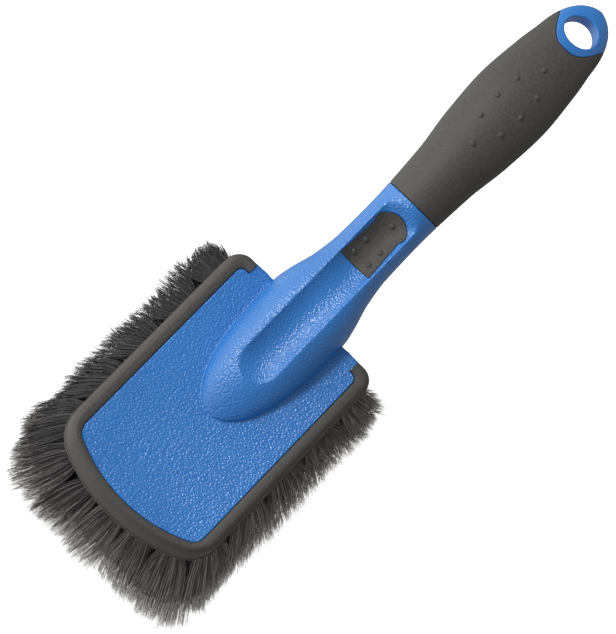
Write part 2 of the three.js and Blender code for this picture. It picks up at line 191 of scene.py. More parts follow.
# ---------- how finely the shapes are drawn ----------
SHARP_EDGE = radians(32)
NEAR_CORNER_POINTS = 14
FAR_CORNER_POINTS = 18
MOUTH_POINTS = 6
SIDE_POINTS = 40
FAR_EDGE_POINTS = 63
PLATE_EDGE_ROWS = 6
PLATE_RINGS = 40
PLATE_SHARES = (0.97, 0.02)
BUMPER_NOSE_ROWS = 18
FILLET_STEPS = 60
FILLET_PROFILE_STEPS = 9
FILLET_END_ANGLE = 0.03
EDGE_ROWS = 5
BOSS_ROWS = 34
NECK_ROWS = 110
CORE_ROWS = 40
RING_ROWS = 46
GRIP_ROWS = 130
GRIP_INNER_ROWS = 60
LEAST_INSET_WIDTH = 0.1
RIM_SOFT_COLUMNS = 2.2
RIM_SOFT_ROUNDS = 8
SEAM_FRONT_ROUNDS = 6
SEAM_BACK_ROUNDS = 16
NUB_SIDES = 24
NUB_DOME_ROWS = 7
NUB_DOME_ANGLES = (0.1, pi / 2 - 0.12)
HOLE_SIDES = 72
FLARE_ROWS = 7
FLARE_END_ANGLE = 0.12
FLARE_OVERSHOOT = 0.2
CUTTER_OVERSHOOT = 3.0
TUFT_HOLE_SIDES = 16
TUFT_HOLE_OVERSHOOT = 1.0
PAD_END_POINTS = 49
PAD_SIDE_POINTS = 24
PAD_TOP_RINGS = 26
PAD_TOP_SHARES = (0.02, 0.96)
PAD_FLOOR_SHARES = (0.7, 0.4, 0.02)
PAD_CUTTER_LIFTS = (4.0, 2.0, 0.5)

# Heights above the plate, and half widths, at stations along the boss and handle.
HALF_WIDTH_AT = [
    (-BOSS_LENGTH, 18.8), (0, 18.8), (7, 17.6), (18, 14.6), (30, 13), (46, 12.7), (75, 14),
    (95, 16.5), (115, 17.7), (138, 16), (150, 14.6), (HANDLE_END_X, 14.4),
]
CREST_AT = [(-BOSS_LENGTH, 15), (0, 18), (40, 22.5), (80, 30), (116, 34.5), (150, 31), (HANDLE_END_X, 27.5)]
MIDDLE_AT = [(-BOSS_LENGTH, -1), (0, -1), (40, 9), (80, 16), (120, 21.5), (150, 22), (HANDLE_END_X, 21)]
BELLY_AT = [
    (-BOSS_LENGTH, -9), (0, -12), (20, -4), (45, 2.5), (80, 7), (115, 9), (150, 14.5), (HANDLE_END_X, 18),
]


# ---------- curves ----------
def smooth_through(knots):
    """A smooth curve through (x, value) knots that doesn't overshoot them, as a function of an array."""
    xs, values = (np.array(column, float) for column in zip(*knots))
    rises = np.diff(values) / np.diff(xs)
    slopes = np.zeros(len(xs))
    same_way = rises[:-1] * rises[1:] > 0
    before, after = rises[:-1][same_way], rises[1:][same_way]
    slopes[1:-1][same_way] = 2 * before * after / (before + after)

    def curve(x):
        x = np.asarray(x, float)
        i = np.clip(np.searchsorted(xs, x, side="right") - 1, 0, len(xs) - 2)
        span = xs[i + 1] - xs[i]
        t = np.clip((x - xs[i]) / span, 0, 1)
        late = t * t * (3 - 2 * t)
        bend = t * (1 - t) ** 2 * slopes[i] + t * t * (t - 1) * slopes[i + 1]
        return values[i] + late * (values[i + 1] - values[i]) + span * bend

    return curve


def round_off(distance, power=2.0):
    """Height of a superellipse quarter: 1 at 0, falling to 0 at 1."""
    return np.sqrt(np.maximum(0, 1 - np.clip(distance, 0, 1) ** power))


def smooth_min(a, b, blend):
    """The lower of two heights, with the corner between them rounded over the blend height."""
    blend = np.maximum(blend, TINY)
    share = np.clip(0.5 + 0.5 * (b - a) / blend, 0, 1)
    return b * (1 - share) + a * share - blend * share * (1 - share)


half_width_at = smooth_through(HALF_WIDTH_AT)
crest_at = smooth_through(CREST_AT)
middle_at = smooth_through(MIDDLE_AT)
belly_at = smooth_through(BELLY_AT)
groove_depth_at = smooth_through(
    [(GROOVE_START_X, GROOVE_DEPTH), (5, GROOVE_DEPTH), (23, 7.6), (37, 8.2), (45, 6.2), (GROOVE_END_X, -1)]
)


def handle_section(x):
    """Half width, and heights of the widest line, crest and belly of the handle at station x."""
    nose = round_off(-x / BOSS_LENGTH, BOSS_PLAN_POWER)
    nose_height = np.clip(1 - np.clip(-x / BOSS_LENGTH, 0, 1) ** 2, 0, 1) ** BOSS_RAMP_POWER
    eye = round_off((x - EYE_START_X) / (HANDLE_END_X - EYE_START_X), EYE_PLAN_POWER)
    eye_edge = END_THICKNESS_SHARE + (1 - END_THICKNESS_SHARE) * eye
    middle = middle_at(x)
    half_width = np.maximum(half_width_at(x) * nose * eye, LEAST_HALF_WIDTH)
    crest = middle + (crest_at(x) - middle) * np.maximum(nose_height, LEAST_NOSE_SHARE) * eye_edge
    belly = middle - (middle - belly_at(x)) * eye_edge
    return half_width, PLATE_Z + middle, PLATE_Z + crest, PLATE_Z + belly


def groove_section(x):
    """Half width, floor height and rim height of the thumb groove at station x, and its depth."""
    nose = round_off(1 - (x - GROOVE_START_X) / GROOVE_NOSE_LENGTH)
    half_width, middle, crest, _ = handle_section(x)
    half = GROOVE_HALF_WIDTH * np.maximum(nose, GROOVE_NARROWEST_SHARE)
    half = np.minimum(half, GROOVE_WIDEST_SHARE * half_width)
    ramp = np.sin(0.5 * pi * np.clip((x - GROOVE_START_X) / GROOVE_RAMP_LENGTH, 0, 1))
    depth = groove_depth_at(x) * ramp
    floor = crest - depth
    rim = middle + (crest - middle) * round_off(half / half_width)
    return half, floor, np.maximum(rim, floor + GROOVE_LEAST_WALL), depth


def upper_skin(x, y):
    """Height of the top of the boss and handle at a plan point, with the groove in it."""
    half_width, middle, crest, _ = handle_section(x)
    crown = middle + (crest - middle) * round_off(np.abs(y) / half_width)
    half, floor, rim, depth = groove_section(x)
    hollow = floor + (rim - floor) * (np.abs(y) / half) ** GROOVE_WALL_POWER
    return smooth_min(crown, hollow, GROOVE_RIM_BLEND * np.clip(depth, 0, 1))


def lower_skin(x, y):
    """Height of the underside of the handle at a plan point."""
    half_width, middle, _, belly = handle_section(x)
    return middle - (middle - belly) * round_off(np.abs(y) / half_width)


# ---------- meshes ----------
def placed(points):
    """Shaping frame millimetres to frame metres."""
    points = np.asarray(points, float).reshape(-1, 3)
    return (points + (NEAR_EDGE_X, 0, 0)) * MM


def new_object(name, points, faces):
    """A mesh object from shaping frame points and lists of corner numbers."""
    mesh = bpy.data.meshes.new(name)
    mesh.from_pydata(placed(points).tolist(), [], faces)
    mesh.validate()
    piece = bpy.data.objects.new(name, mesh)
    bpy.context.scene.collection.objects.link(piece)
    return piece


def grid_faces(rows, columns, close_rows=False):
    """Quads of a grid whose columns run round a loop, and whose rows may too."""
    last = rows if close_rows else rows - 1
    faces = []
    for row in range(last):
        here, there = row * columns, (row + 1) % rows * columns
        for column in range(columns):
            beside = (column + 1) % columns
            faces.append((here + column, here + beside, there + beside, there + column))
    return faces


def lofted(name, rings, close_rows=False):
    """A closed mesh through rings of points, an array of rows by columns by 3."""
    rings = np.asarray(rings, float)
    rows, columns, _ = rings.shape
    faces = grid_faces(rows, columns, close_rows)
    if not close_rows:
        faces.append(tuple(reversed(range(columns))))
        faces.append(tuple(range((rows - 1) * columns, rows * columns)))
    piece = new_object(name, rings.reshape(-1, 3), faces)
    if signed_volume(piece.data) < 0:
        piece.data.flip_normals()
    return piece


def signed_volume(mesh):
    """Volume inside a closed mesh: negative where its faces look inwards."""
    mesh.calc_loop_triangles()
    corners = np.zeros(len(mesh.loop_triangles) * 3, np.int32)
    mesh.loop_triangles.foreach_get("vertices", corners)
    places = np.zeros(len(mesh.vertices) * 3)
    mesh.vertices.foreach_get("co", places)
    a, b, c = places.reshape(-1, 3)[corners.reshape(-1, 3)].transpose(1, 0, 2)
    return float(np.einsum("ij,ij->i", a, np.cross(b, c)).sum() / 6)


def combine(piece, tool, operation):
    """Cuts the tool out of the piece, or joins it on, and removes the tool."""
    modifier = piece.modifiers.new("combine", "BOOLEAN")
    modifier.operation = operation
    modifier.solver = "MANIFOLD"
    modifier.object = tool
    graph = bpy.context.evaluated_depsgraph_get()
    combined = bpy.data.meshes.new_from_object(piece.evaluated_get(graph))
    piece.modifiers.clear()
    old = piece.data
    piece.data = combined
    combined.name = piece.name
    bpy.data.meshes.remove(old)
    bpy.data.objects.remove(tool)
    return piece


def smooth(piece):
    """Smooth shading with sharp edges kept sharp and flat faces kept flat."""
    mesh = piece.data
    mesh.shade_smooth()
    mesh.set_sharp_from_angle(angle=SHARP_EDGE)
    weighted = piece.modifiers.new("flat faces", "WEIGHTED_NORMAL")
    weighted.keep_sharp = True
    return piece


def finish_piece(piece, material, cad_node):
    """Gives the piece its material, hangs it on the root body and hides the CAD node it takes the place of.
    """
    piece.data.materials.clear()
    piece.data.materials.append(material)
    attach(piece, "root")
    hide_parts(cad_node)


# ---------- head ----------
def arc(centre, radius, start, end, count):
    """Points round an arc between two angles, ends included."""
    angles = np.linspace(start, end, count)
    return np.column_stack([centre[0] + radius * np.cos(angles), centre[1] + radius * np.sin(angles)])


def straight(start, end, count):
    """Points between two ends, neither of them included."""
    share = np.linspace(0, 1, count + 2)[1:-1, None]
    return np.array(start) * (1 - share) + np.array(end) * share


def head_outline(inset, mouth_half):
    """Plan points round the head from one side of the handle's mouth to the other, moved inwards."""
    half = HEAD_WIDTH / 2 - inset
    far_radius = FAR_EDGE_RADIUS - inset
    far_corner = max(FAR_CORNER_RADIUS - FAR_CORNER_TIGHTENING * inset, LEAST_FAR_CORNER)
    near_corner = max(NEAR_CORNER_RADIUS - inset, LEAST_NEAR_CORNER)
    arc_x = FAR_EDGE_RADIUS - HEAD_LENGTH - FAR_NARROWING * inset / BUMPER_TOP_WIDTH
    corner_y = half - far_corner
    corner_x = arc_x - sqrt((far_radius - far_corner) ** 2 - corner_y**2)
    turn = atan2(corner_y, corner_x - arc_x)
    near_x = NEAR_REACH - inset
    near_centre = (near_x - near_corner, half - near_corner)
    near = arc(near_centre, near_corner, 0, pi / 2, NEAR_CORNER_POINTS)
    far = arc((corner_x, corner_y), far_corner, pi / 2, turn, FAR_CORNER_POINTS)
    side = [
        np.array([[near_x, mouth_half]]),
        straight((near_x, mouth_half), near[0], MOUTH_POINTS),
        near,
        straight(near[-1], far[0], SIDE_POINTS),
        far,
    ]
    upper = np.concatenate(side)
    middle = arc((arc_x, 0), far_radius, turn, 2 * pi - turn, FAR_EDGE_POINTS)[1:-1]
    lower = upper[::-1] * (1, -1)
    return np.concatenate([upper, middle, lower])


def block_outline(inset, front):
    """A closed plan outline moved inwards by inset, but out to front between the bumper's two ends."""
    side = head_outline(inset, BUMPER_MOUTH_HALF)
    ends = np.array([(front, -BUMPER_MOUTH_HALF), (front, BUMPER_MOUTH_HALF)])
    return np.concatenate([side, ends[:1], straight(ends[0], ends[1], SIDE_POINTS), ends[1:]])


def quarter(radius, count):
    """Offsets along and up a quarter round, from its foot to its top."""
    angles = np.linspace(0, pi / 2, count)
    return radius * (1 - np.cos(angles)), radius * np.sin(angles)


def dish(x, y):
    """How far the plate sinks at a plan point: most along the middle, nothing at its sides and far edge."""
    half = HEAD_WIDTH / 2 - BUMPER_TOP_WIDTH
    across = np.clip(1 - (y / half) ** 2, 0, 1)
    from_far = (x + HEAD_LENGTH - BUMPER_TOP_WIDTH) / PLATE_DISH_END
    return PLATE_DISH * across * np.sin(0.5 * pi * np.clip(from_far, 0, 1))


def head_core():
    """The blue head: wide below, a step in under the bumper's band, and the dished plate on top."""
    step_z = PLATE_Z - BUMPER_TOP_DEPTH
    side = [
        (BUMPER_SIDE_DEPTH + BLOCK_CHAMFER, BLOCK_FACE_Z),
        (BUMPER_SIDE_DEPTH, BLOCK_FACE_Z + BLOCK_CHAMFER),
        (BUMPER_SIDE_DEPTH, step_z),
        (BUMPER_TOP_WIDTH, step_z),
    ]
    front = [(-NEAR_FACE_INSET - BLOCK_CHAMFER, BLOCK_FACE_Z)]
    front += [(-NEAR_FACE_INSET, z) for _, z in side[1:]]
    for along, up in zip(*quarter(1.0, PLATE_EDGE_ROWS)):
        down = 1 - up
        side.append((BUMPER_TOP_WIDTH + PLATE_EDGE_RADIUS * along, PLATE_Z - PLATE_EDGE_RADIUS * down))
        front.append((-NEAR_FACE_INSET - NEAR_EDGE_ROUNDING * along, PLATE_Z - NEAR_EDGE_ROUNDING * down))
    rings = []
    for (inset, side_z), (front_x, front_z) in zip(side, front):
        outline = block_outline(inset, front_x)
        between_ends = (np.abs(outline[:, 1]) <= BUMPER_MOUTH_HALF) & (outline[:, 0] == front_x)
        rings.append(np.column_stack([outline, np.where(between_ends, front_z, side_z)]))
    edge = rings[-1]
    edge[:, 2] -= dish(edge[:, 0], edge[:, 1])
    middle = np.array([-HEAD_LENGTH / 2, 0, 0])
    for share in np.linspace(*PLATE_SHARES, PLATE_RINGS):
        ring = middle + (edge - middle) * share
        ring[:, 2] = PLATE_Z - dish(ring[:, 0], ring[:, 1])
        rings.append(ring)
    return lofted("brush_body", rings)


def boss_fillet():
    """The concave fillet that runs round the foot of the boss on the plate."""
    turn = np.linspace(0, pi / 2, FILLET_STEPS)
    xs = BOSS_FILLET_START_X - (BOSS_LENGTH + BOSS_FILLET_START_X) * np.sin(turn)
    upper = np.column_stack([xs, handle_section(xs)[0]])
    plan = np.concatenate([upper, upper[-2::-1] * (1, -1)])
    along = np.gradient(plan, axis=0)
    along /= np.linalg.norm(along, axis=1)[:, None]
    outward = np.column_stack([along[:, 1], -along[:, 0]])
    outward *= np.sign((outward * (plan - BOSS_INSIDE)).sum(1))[:, None]
    angles = np.linspace(FILLET_END_ANGLE, pi / 2 - FILLET_END_ANGLE, FILLET_PROFILE_STEPS)
    profile = [(BOSS_FILLET * (1 - sin(a)), BOSS_FILLET * (1 - cos(a))) for a in angles]
    root = -BOSS_FILLET_ROOT
    profile += [(root, BOSS_FILLET), (root, root), (BOSS_FILLET, root)]
    rings = []
    for point, out in zip(plan, outward):
        foot_z = PLATE_Z - float(dish(point[0], point[1]))
        rings.append([(*(point + out * reach), foot_z + up) for reach, up in profile])
    return lofted("fillet", rings)


def head_bumper():
    """The rubber edge: a band with a rounded nose and a thin skirt, open where the handle leaves."""
    lip_top = BUMPER_BASE_Z + BUMPER_LIP_HEIGHT
    foot_in, foot_up = BUMPER_LIP_FOOT
    in_by, up_by = quarter(1.0, BUMPER_NOSE_ROWS)
    crown_z = BUMPER_TOP_Z - BUMPER_CROWN_HEIGHT
    inner = BUMPER_TOP_WIDTH - VISIBLE_GAP
    wall = BUMPER_SIDE_DEPTH - GAP
    band_z = PLATE_Z - BUMPER_TOP_DEPTH + GAP
    profile = [
        (wall, BUMPER_BASE_Z),
        (BUMPER_LIP_CHAMFER, BUMPER_BASE_Z),
        (0.0, BUMPER_BASE_Z + BUMPER_LIP_CHAMFER),
        (0.0, lip_top - BUMPER_LIP_CHAMFER),
        (BUMPER_LIP_EDGE, lip_top),
        (BUMPER_LIP - foot_in, lip_top),
        (BUMPER_LIP, lip_top + foot_up),
    ]
    profile += [
        (BUMPER_LIP + BUMPER_CROWN_WIDTH * along, crown_z + BUMPER_CROWN_HEIGHT * up)
        for along, up in zip(in_by, up_by)
    ]
    inner_width = inner - BUMPER_LIP - BUMPER_CROWN_WIDTH
    profile += [
        (inner - inner_width * along, BUMPER_TOP_Z - BUMPER_INNER_DROP * (1 - up))
        for along, up in zip(in_by[-2::-1], up_by[-2::-1])
    ]
    profile += [(inner, band_z), (wall, band_z)]
    outlines = [head_outline(inset, BUMPER_MOUTH_HALF + VISIBLE_GAP / 2) for inset, _ in profile]
    rings = [[(*place, z) for place, (_, z) in zip(places, profile)] for places in zip(*outlines)]
    return lofted("bumper_edge", rings)


# ---------- boss and handle ----------
OUTER_COLUMNS = 22
GROOVE_COLUMNS = 41
TOP_COLUMNS = 2 * OUTER_COLUMNS + GROOVE_COLUMNS
LOWER_COLUMNS = 56
RING_COLUMNS = TOP_COLUMNS + LOWER_COLUMNS
RIM_COLUMNS = (OUTER_COLUMNS, OUTER_COLUMNS + GROOVE_COLUMNS - 1)


def handle_rings(stations, inset):
    """Rings of the handle's skin, moved inwards by inset, at stations of rows by columns."""
    outer = np.linspace(1, 0, OUTER_COLUMNS, endpoint=False)
    groove = np.sin(np.linspace(pi / 2, -pi / 2, GROOVE_COLUMNS))
    lower = np.linspace(pi, 0, LOWER_COLUMNS + 2)[1:-1]
    x = np.broadcast_to(stations, (len(stations), RING_COLUMNS)).copy()
    half_width, middle, _, _ = handle_section(x)
    half = groove_section(x)[0]
    rim_angle = np.arcsin(np.clip(half / half_width, 0, 1))
    left = slice(0, OUTER_COLUMNS)
    hollow = slice(OUTER_COLUMNS, OUTER_COLUMNS + GROOVE_COLUMNS)
    right = slice(OUTER_COLUMNS + GROOVE_COLUMNS, TOP_COLUMNS)
    under = slice(TOP_COLUMNS, RING_COLUMNS)
    y = np.zeros_like(x)
    for part, shares, side in ((left, outer, 1), (right, outer[::-1], -1)):
        angle = rim_angle[:, part] + (pi / 2 - rim_angle[:, part]) * shares
        y[:, part] = side * half_width[:, part] * np.sin(angle)
    y[:, hollow] = half[:, hollow] * groove
    y[:, under] = half_width[:, under] * np.cos(lower)
    z = upper_skin(x, y)
    z[:, under] = lower_skin(x[:, under], y[:, under])
    reach = np.abs(z - middle)
    shrink = np.maximum(half_width - inset, LEAST_INSET_WIDTH) / half_width
    z = middle + (z - middle) * np.maximum(reach - inset, 0.0) / np.maximum(reach, TINY)
    rings = np.stack([x, y * shrink, z], axis=2)
    soften_columns(rings)
    return rings


def soften_columns(rings):
    """Rounds the two rims of the groove by easing the columns beside them."""
    columns = np.arange(RING_COLUMNS)
    weight = sum(np.exp(-(((columns - rim) / RIM_SOFT_COLUMNS) ** 2)) for rim in RIM_COLUMNS)
    weight[TOP_COLUMNS:] = 0
    for _ in range(RIM_SOFT_ROUNDS):
        eased = 0.5 * (np.roll(rings, 1, axis=1) + np.roll(rings, -1, axis=1))
        rings[:, :, 1:] += 0.5 * weight[None, :, None] * (eased - rings)[:, :, 1:]


def seam_front():
    """Station of the sleeve's front edge for each column: a plane that leans back."""
    x = np.full((1, RING_COLUMNS), GRIP_SEAM_X)
    for _ in range(SEAM_FRONT_ROUNDS):
        z = handle_rings(x, 0)[:, :, 2]
        x = GRIP_SEAM_X + (GRIP_SEAM_Z - z) * tan(GRIP_SEAM_LEAN)
    return x[0]


def seam_back():
    """Station of the sleeve's back edge for each column: round the ring, and on to a horn at each side."""
    x = np.full((1, RING_COLUMNS), EYE_X - RING_HALF_LENGTH)
    for _ in range(SEAM_BACK_ROUNDS):
        y = np.abs(handle_rings(x, 0)[:, :, 1])
        round_ring = EYE_X - RING_HALF_LENGTH * (1 - (y / RING_HALF_WIDTH) ** RING_POWER)
        x = (x + round_ring) / 2
    return x[0]


def rounded_step(seam, way):
    """Stations and insets that turn a skin inwards at a seam; way is +1 if the skin ends there."""
    along, down = quarter(SEAM_ROUNDING, EDGE_ROWS)
    rows = [(seam - way * (SEAM_ROUNDING - up), inset) for inset, up in zip(along, down)]
    return rows if way > 0 else rows[::-1]


def crowded(start, end, count, at_start=False, at_end=False):
    """Rows of stations between two of them, crowded at the end asked for."""
    t = np.linspace(0, 1, count)
    if at_start:
        t = 1 - np.cos(0.5 * pi * t)
    elif at_end:
        t = np.sin(0.5 * pi * t)
    return [start + (end - start) * share for share in t]


def skin_through(rows):
    """Rings of the handle's skin through rows of stations and insets."""
    stations = np.array([x for x, _ in rows])
    insets = np.array([[inset] for _, inset in rows])
    return handle_rings(stations, insets)


def handle_core():
    """The blue boss, neck, hidden core of the grip and hanging ring as one skin."""
    front, back = seam_front() - GAP / 2, seam_back() + GAP / 2
    pocket = GRIP_THICKNESS + GAP
    start = np.full_like(front, -BOSS_LENGTH)
    end = np.full_like(front, HANDLE_END_X)
    groove_start = np.full_like(front, GROOVE_START_X - GROOVE_MARGIN)
    groove_round = np.full_like(front, GROOVE_START_X + GROOVE_NOSE_LENGTH + GROOVE_MARGIN)
    rows = [(x, 0.0) for x in crowded(start, groove_start, BOSS_ROWS, at_start=True)]
    rows += [(x, 0.0) for x in crowded(groove_start, groove_round, BOSS_ROWS)[1:]]
    rows += [(x, 0.0) for x in crowded(groove_round, front - SEAM_ROUNDING, NECK_ROWS)[1:]]
    rows += rounded_step(front, +1)[1:]
    rows += [(x, pocket) for x in crowded(front, back, CORE_ROWS)]
    rows += rounded_step(back, -1)
    rows += [(x, 0.0) for x in crowded(back + SEAM_ROUNDING, end, RING_ROWS, at_end=True)[1:]]
    return lofted("handle", skin_through(rows))


def handle_grip():
    """The rubber sleeve, closed, with rounded ends and its nubs."""
    front, back = seam_front() + GAP / 2, seam_back() - GAP / 2
    rows = rounded_step(front, -1)
    rows += [(x, 0.0) for x in crowded(front + SEAM_ROUNDING, back - SEAM_ROUNDING, GRIP_ROWS)[1:-1]]
    rows += rounded_step(back, +1)
    rows += [(x, GRIP_THICKNESS) for x in crowded(back, front, GRIP_INNER_ROWS)]
    grip = lofted("grip_sleeve", skin_through(rows), close_rows=True)
    for x, y in grip_nub_places():
        combine(grip, nub(x, y, float(upper_skin(np.array(x), np.array(y)))), "UNION")
    return grip


def grip_nub_places():
    """Two curved rows of nubs that close into an oval."""
    places = []
    for row in range(-2, 3):
        x = GRIP_NUB_X + row * GRIP_NUB_PITCH
        y = GRIP_NUB_HALF_WIDTH * float(round_off(abs(row) / 2))
        places += [(x, y), (x, -y)] if y > 0 else [(x, y)]
    return places


def nub(x, y, z):
    """A low dome with a soft foot, part sunk into the surface it stands on."""
    turns = np.linspace(0, 2 * pi, NUB_SIDES, endpoint=False)
    profile = [(NUB_RADIUS + past, height) for past, height in NUB_FOOT]
    rise = NUB_HEIGHT - NUB_DOME_START
    profile += [
        (NUB_RADIUS * cos(a) * NUB_DOME_SHARE, NUB_DOME_START + rise * sin(a))
        for a in np.linspace(*NUB_DOME_ANGLES, NUB_DOME_ROWS)
    ]
    rings = []
    for radius, height in profile:
        rings.append([(x + radius * cos(a), y + radius * sin(a), z + height) for a in turns])
    return lofted("nub", rings)


def hang_hole():
    """The cutter of the hanging hole, which flares at both faces to round its edges."""
    turns = np.linspace(0, 2 * pi, HOLE_SIDES, endpoint=False)
    steps = np.linspace(FLARE_END_ANGLE, pi / 2, FLARE_ROWS)
    rings = []
    for skin, way, rounding in ((upper_skin, -1, EYE_HOLE_ROUNDING), (lower_skin, +1, EYE_UNDER_ROUNDING)):
        flare = [(rounding * (1 - sin(a)), rounding * (1 - cos(a))) for a in steps]
        side = []
        for grow, depth in [(rounding + FLARE_OVERSHOOT, -CUTTER_OVERSHOOT), *flare]:
            x = EYE_X + (EYE_HOLE_RADIUS + grow) * np.cos(turns)
            y = (EYE_HOLE_RADIUS + grow) * np.sin(turns)
            side.append(np.column_stack([x, y, skin(x, y) + way * depth]))
        rings += side if way < 0 else side[::-1]
    return lofted("hole", rings)


# ---------- thumb pad ----------
def pad_outline(grow):
    """Plan points round the pad: slightly hollow front, tapering sides and a rounded end."""
    turn = pi - asin(PAD_WAIST_HALF / PAD_END_HALF)
    angles = np.linspace(-turn, turn, PAD_END_POINTS)
    end = np.column_stack([
        PAD_END_CENTRE_X + (PAD_END_LENGTH + grow) * np.cos(angles),
        (PAD_END_HALF + grow) * np.sin(angles),
    ])
    x, y = PAD_FRONT_X - grow, PAD_FRONT_HALF + grow
    cut = PAD_FRONT_CORNER_CUT
    front = np.array([(x + PAD_FRONT_CORNER, y), (x + cut, y - cut), (x, y - PAD_FRONT_CORNER)])
    across = straight(front[-1], front[-1] * (1, -1), PAD_SIDE_POINTS)
    across[:, 0] += PAD_FRONT_BOW * (1 - (across[:, 1] / y) ** 2)
    return np.concatenate([
        end,
        straight(end[-1], front[0], PAD_SIDE_POINTS),
        front,
        across,
        front[::-1] * (1, -1),
        straight(front[0] * (1, -1), end[0], PAD_SIDE_POINTS),
    ])


def pad_ring(outline, share, lift):
    """The pad's outline shrunk to a share of itself, at a height over the handle's skin."""
    xy = PAD_CENTRE + (outline - PAD_CENTRE) * share
    return np.column_stack([xy, upper_skin(xy[:, 0], xy[:, 1]) + lift])


def pad_pocket():
    """The cutter of the pocket that the pad lies in."""
    outline = pad_outline(PAD_POCKET_GAP)
    floor_lift = -PAD_THICKNESS - GAP
    rings = [pad_ring(outline, PAD_FLOOR_SHARES[-1], PAD_CUTTER_LIFTS[0])]
    rings += [pad_ring(outline, 1.0, lift) for lift in (*PAD_CUTTER_LIFTS, floor_lift)]
    rings += [pad_ring(outline, share, floor_lift) for share in PAD_FLOOR_SHARES]
    return lofted("pocket", rings)


def thumb_pad():
    """The rubber pad that lies in the groove, with a rounded edge and five nubs."""
    outline = pad_outline(0.0)
    reach = np.linalg.norm(outline - PAD_CENTRE, axis=1)
    along, up = quarter(PAD_EDGE_ROUNDING, EDGE_ROWS)
    rings = [pad_ring(outline, share, PAD_PROUD) for share in np.linspace(*PAD_TOP_SHARES, PAD_TOP_RINGS)]
    for back, height in zip(along[::-1], up[::-1]):
        share = (1 - back / reach)[:, None]
        rings.append(pad_ring(outline, share, PAD_PROUD - PAD_EDGE_ROUNDING + height))
    rings += [pad_ring(outline, share, -PAD_THICKNESS) for share in (1.0, *PAD_FLOOR_SHARES)]
    pad = lofted("pad_inlay", rings)
    for x, y in PAD_NUBS:
        z = float(upper_skin(np.array(x), np.array(y))) + PAD_PROUD
        combine(pad, nub(x, y, z), "UNION")
    return pad


# ---------- tufts ----------
def tuft_places():
    """Name, hole mouth and tip centre of each tuft, row by row from the handle."""
    places = []
    for row in range(TUFT_ROWS):
        columns = TUFT_COLUMNS[row % 2]
        for column in range(columns):
            y = (column - (columns - 1) / 2) * TUFT_COLUMN_PITCH
            along = row / (TUFT_ROWS - 1)
            edge = abs(y) / (HEAD_WIDTH / 2 - BUMPER_TOP_WIDTH)
            bow = TUFT_FAR_BOW * along**2 * float(round_off(edge))
            mouth = (TUFT_NEAR_X - row * TUFT_ROW_PITCH - bow, y, BLOCK_FACE_Z)
            tip = (TIP_NEAR_X - row * TIP_ROW_PITCH, y * TIP_SPREAD, 0.0)
            places.append((f"r{row + 1}_c{column + 1}", np.array(mouth), np.array(tip)))
    return places


def prisms(name, outlines, sides):
    """One mesh of separate prisms, each from its two end rings, one after the other in the list."""
    faces = []
    for base in range(0, len(outlines), 2 * sides):
        faces += [tuple(base + i for i in face) for face in grid_faces(2, sides)]
        faces.append(tuple(base + i for i in reversed(range(sides))))
        faces.append(tuple(base + sides + i for i in range(sides)))
    return new_object(name, outlines, faces)


def tuft_holes(places):
    """The cutters of the blind holes, as one mesh of separate leaning plugs."""
    turns = np.linspace(0, 2 * pi, TUFT_HOLE_SIDES, endpoint=False)
    reach = TUFT_RADIUS + GAP
    points = []
    for _, mouth, tip in places:
        lean = (mouth - tip) / BLOCK_FACE_Z
        for depth in (-TUFT_HOLE_OVERSHOOT, TUFT_TOP_Z - BLOCK_FACE_Z + GAP):
            x, y, z = mouth + lean * depth
            points += [(x + reach * cos(a), y + reach * sin(a), z) for a in turns]
    return prisms("holes", points, TUFT_HOLE_SIDES)


SEED = 7
FIBRE_PITCH = 0.76
EDGE_CROWDING = 0.6
SHAFT_RADII = (0.16, 0.125)
ROOT_ENDS = (0.5, 6.5)
FLAG_RADII = (0.12, 0.04)
SHAFT_ENDS = (-2.5, 2.0)
FLAG_START = 0.72
FLAGS = 3
FLAG_STRAY = 0.6
FLAG_LIFT = 2.2
CLUMP_PITCH = 2.3
CLUMP_PULL = (0.35, 0.8)
CLUMP_SHADE = 0.55
OWN_SHADE = 0.45
# Painted light: how far bristle tones are shifted lighter on the far and -Y sides and darker on the +Y side.
FAR_PAINTED_LIGHT = 0.8
PAINTED_LIGHT_SHIFT = 0.75
TONE_STEPS = (0.1, 0.36, 0.64, 0.9)
TONES = len(TONE_STEPS) + 1
TIP_RAGGEDNESS = 1.9
TIP_LIFT = 0.9
LEAST_TIP_LIFT = 0.05
TIP_OVERHANG = 0.5
LOCK_PITCH = 11
LOCK_BEND = 0.9
MOUTH_CROWDING = 1.7
MOUTH_JITTER = 0.1
MOUTH_FILLED = 0.93
ROOT_DEPTH = 6
SPLAY_POWER = 5
BEND_POWER = 5
WAVE_POWER = 1.3
WAVES = (1.0, 2.4)
WAVE_SIZES = (0.1, 0.6)
FLAG_POWER = 1.4
PATH_POINTS = 24
LEVEL_WAY = (1.0, 0.35, 0.0)
SHAFT_POINTS = 8
FLAG_POINTS = 5


def jittered_points(random, pitch):
    """Evenly scattered plan points over the rectangle of the tips."""
    stops = [np.arange(low, high, pitch) for low, high in zip(TIPS_LOW, TIPS_HIGH)]
    grid = np.stack(np.meshgrid(*stops, indexing="ij"), axis=-1).reshape(-1, 2)
    return grid + random.uniform(0, pitch, grid.shape)


def crowd_to_edges(points):
    """Moves points outwards, so that they lie closer together at the edges of the tips."""
    offsets = points - TIPS_MIDDLE
    return TIPS_MIDDLE + offsets * (1 + EDGE_CROWDING * (1 - np.abs(offsets / TIPS_HALF)))


def outline_distance(points):
    """How far plan points are outside the rounded rectangle of the tips: negative inside."""
    offsets = points - TIPS_MIDDLE
    far_corner = np.where(offsets[:, 1] > 0, TIPS_WORN_CORNER, TIPS_FAR_CORNER)
    corner = np.where(offsets[:, 0] < 0, far_corner, TIPS_NEAR_CORNER)
    over = np.abs(offsets) - (TIPS_HALF - corner[:, None])
    rounded = np.linalg.norm(np.maximum(over, 0), axis=1)
    return rounded + np.minimum(over.max(axis=1), 0) - corner


